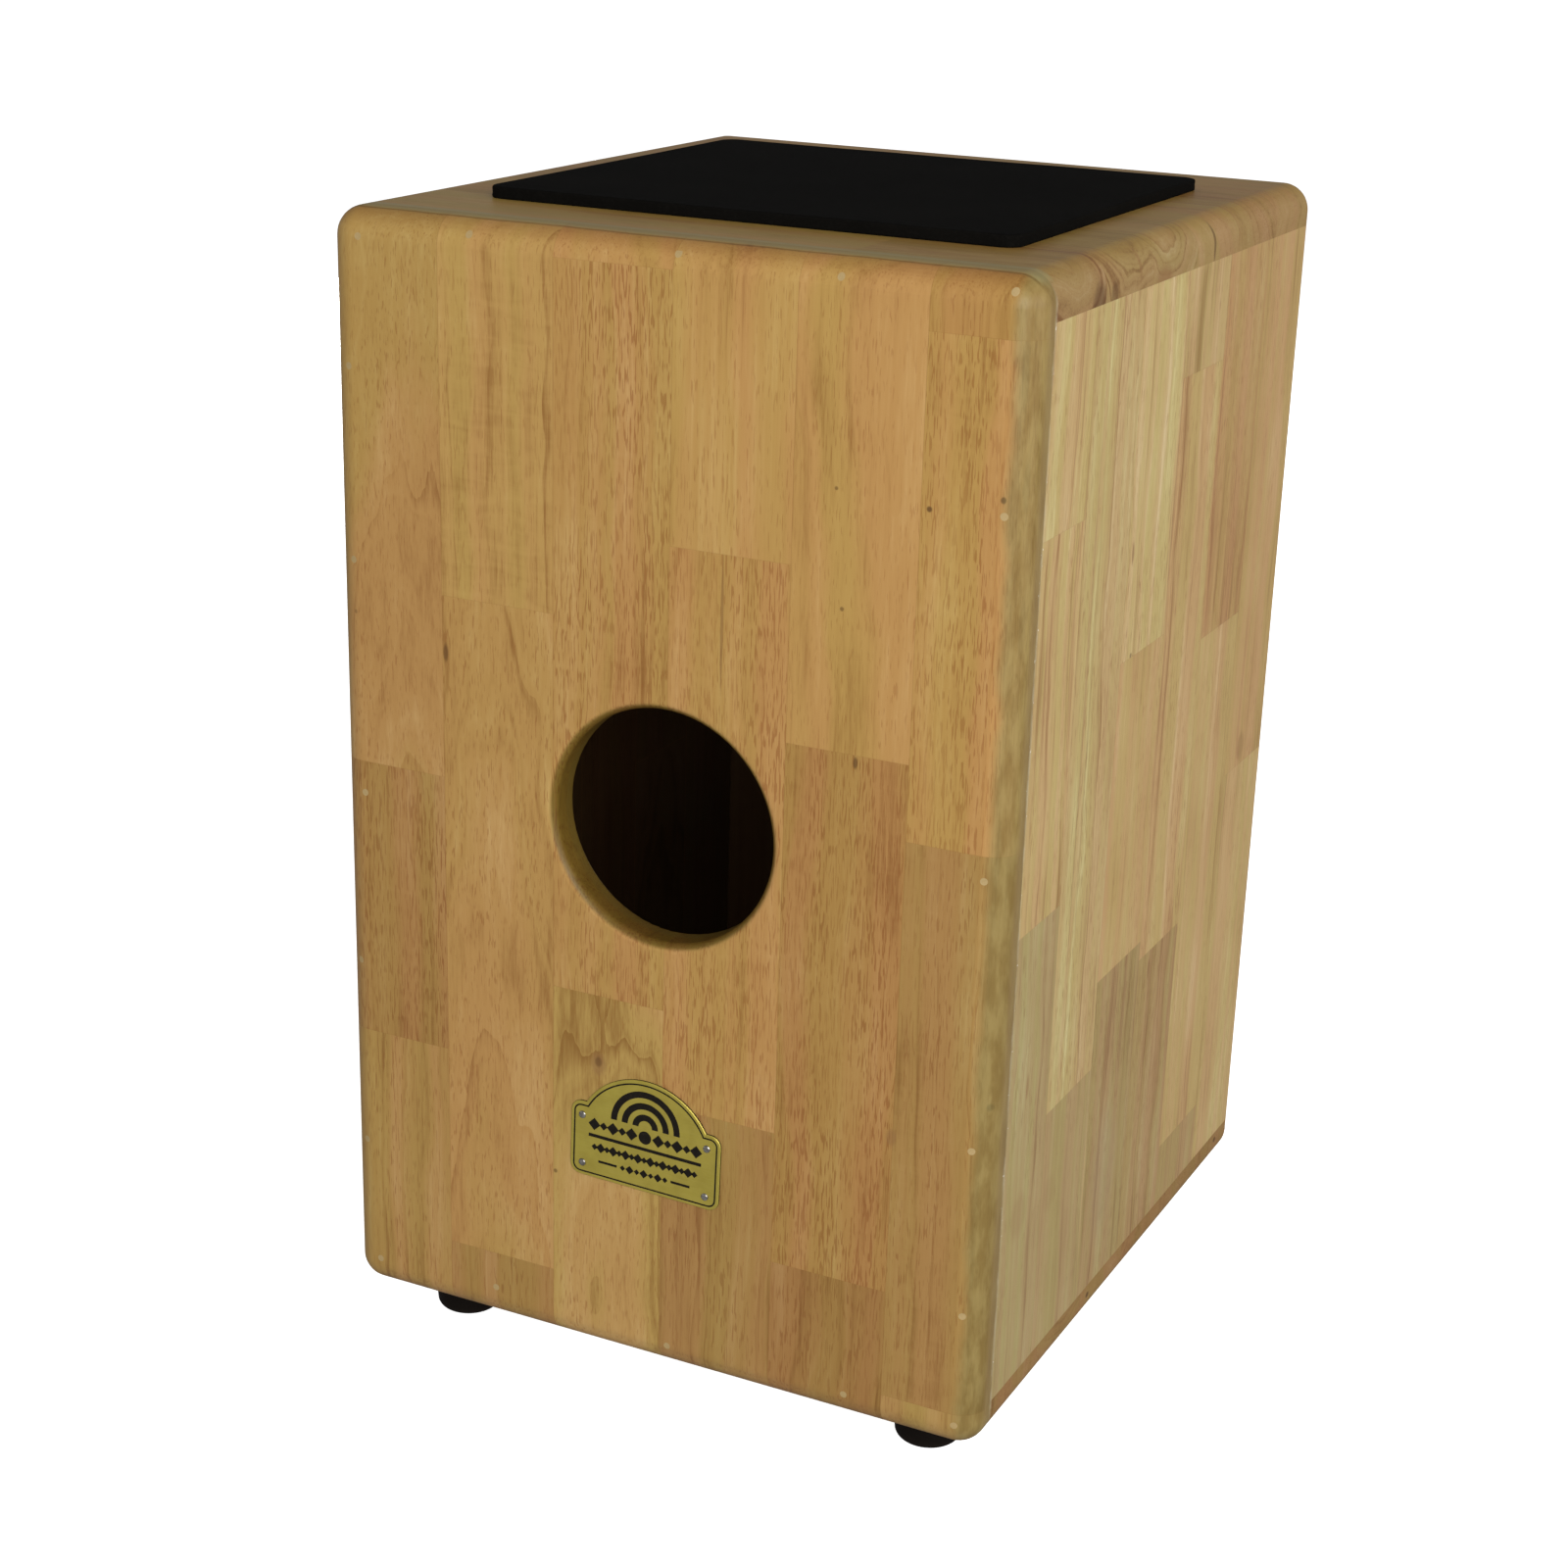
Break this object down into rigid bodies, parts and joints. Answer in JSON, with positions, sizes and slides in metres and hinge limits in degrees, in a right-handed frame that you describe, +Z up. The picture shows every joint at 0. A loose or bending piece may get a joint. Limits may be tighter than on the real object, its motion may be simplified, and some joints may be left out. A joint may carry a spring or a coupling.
{
  "type": "cajon",
  "caption": "Wooden box drum with a plywood playing face, a round sound hole in the rear panel, a foam seat pad, rubber feet and an internal snare bar that tilts off the face.",
  "frame": {"origin": "on the floor, under the middle of the case", "axes": "+Z up; the sound-hole panel looks along +Y and the playing face along -Y; +X is the seated player's left"},
  "size_m": [0.305, 0.3336, 0.506],
  "materials": {
    "panel_wood": "satin lacquer over edge-glued hardwood",
    "side_wood": "satin lacquer over edge-glued hardwood staves",
    "rear_wood": "satin lacquer over edge-glued hardwood staves",
    "plywood": "satin lacquer over rotary-cut veneer",
    "block_wood": "bare planed softwood",
    "turned_wood": "bare turned hardwood",
    "filler": "wood filler under lacquer",
    "foam": "matt closed-cell foam with a fine skin",
    "rubber": "moulded, matt",
    "brass": "satin, with a dark engraved border",
    "steel": "bright zinc plate",
    "snare_wire": "bright drawn wire"
  },
  "bodies": {
    "case": {"top_panel": "panel_wood", "bottom_panel": "panel_wood", "side_panel_left": "side_wood", "side_panel_right": "side_wood", "rear_panel": "rear_wood", "tapa": "plywood", "corner_block_top_left": "block_wood", "corner_block_top_right": "block_wood", "corner_block_bottom_left": "block_wood", "corner_block_bottom_right": "block_wood", "seat_pad": "foam", "foot_front_left": "rubber", "foot_front_right": "rubber", "foot_rear_left": "rubber", "foot_rear_right": "rubber", "foot_screws": "steel", "foot_washers": "steel", "tapa_screws": "steel", "rear_brads": "steel", "brad_fillers": "filler", "name_plate": "brass", "plate_pins": "steel", "bearing_block_left": "block_wood", "bearing_block_right": "block_wood", "bearing_block_screws": "steel", "lock_insert": "brass"},
    "snare_carrier": {"snare_bar": "turned_wood", "snare_plate_left": "brass", "snare_plate_right": "brass", "snare_coils_left": "snare_wire", "snare_coils_right": "snare_wire", "snare_screws": "steel"},
    "lock_screw_body": {"lock_screw": "steel"}
  },
  "joints": [
    {"name": "snare_tilt", "type": "hinge", "parent": "case", "child": "snare_carrier", "pos_m": [0, -0.147, 0.443], "axis": [1, 0, 0], "range_deg": [0, 25]},
    {"name": "lock_turn", "type": "hinge", "parent": "case", "child": "lock_screw_body", "pos_m": [-0.1245, -0.1285, 0.443], "axis": [0, 1, 0], "range_deg": [0, 180]}
  ]
}
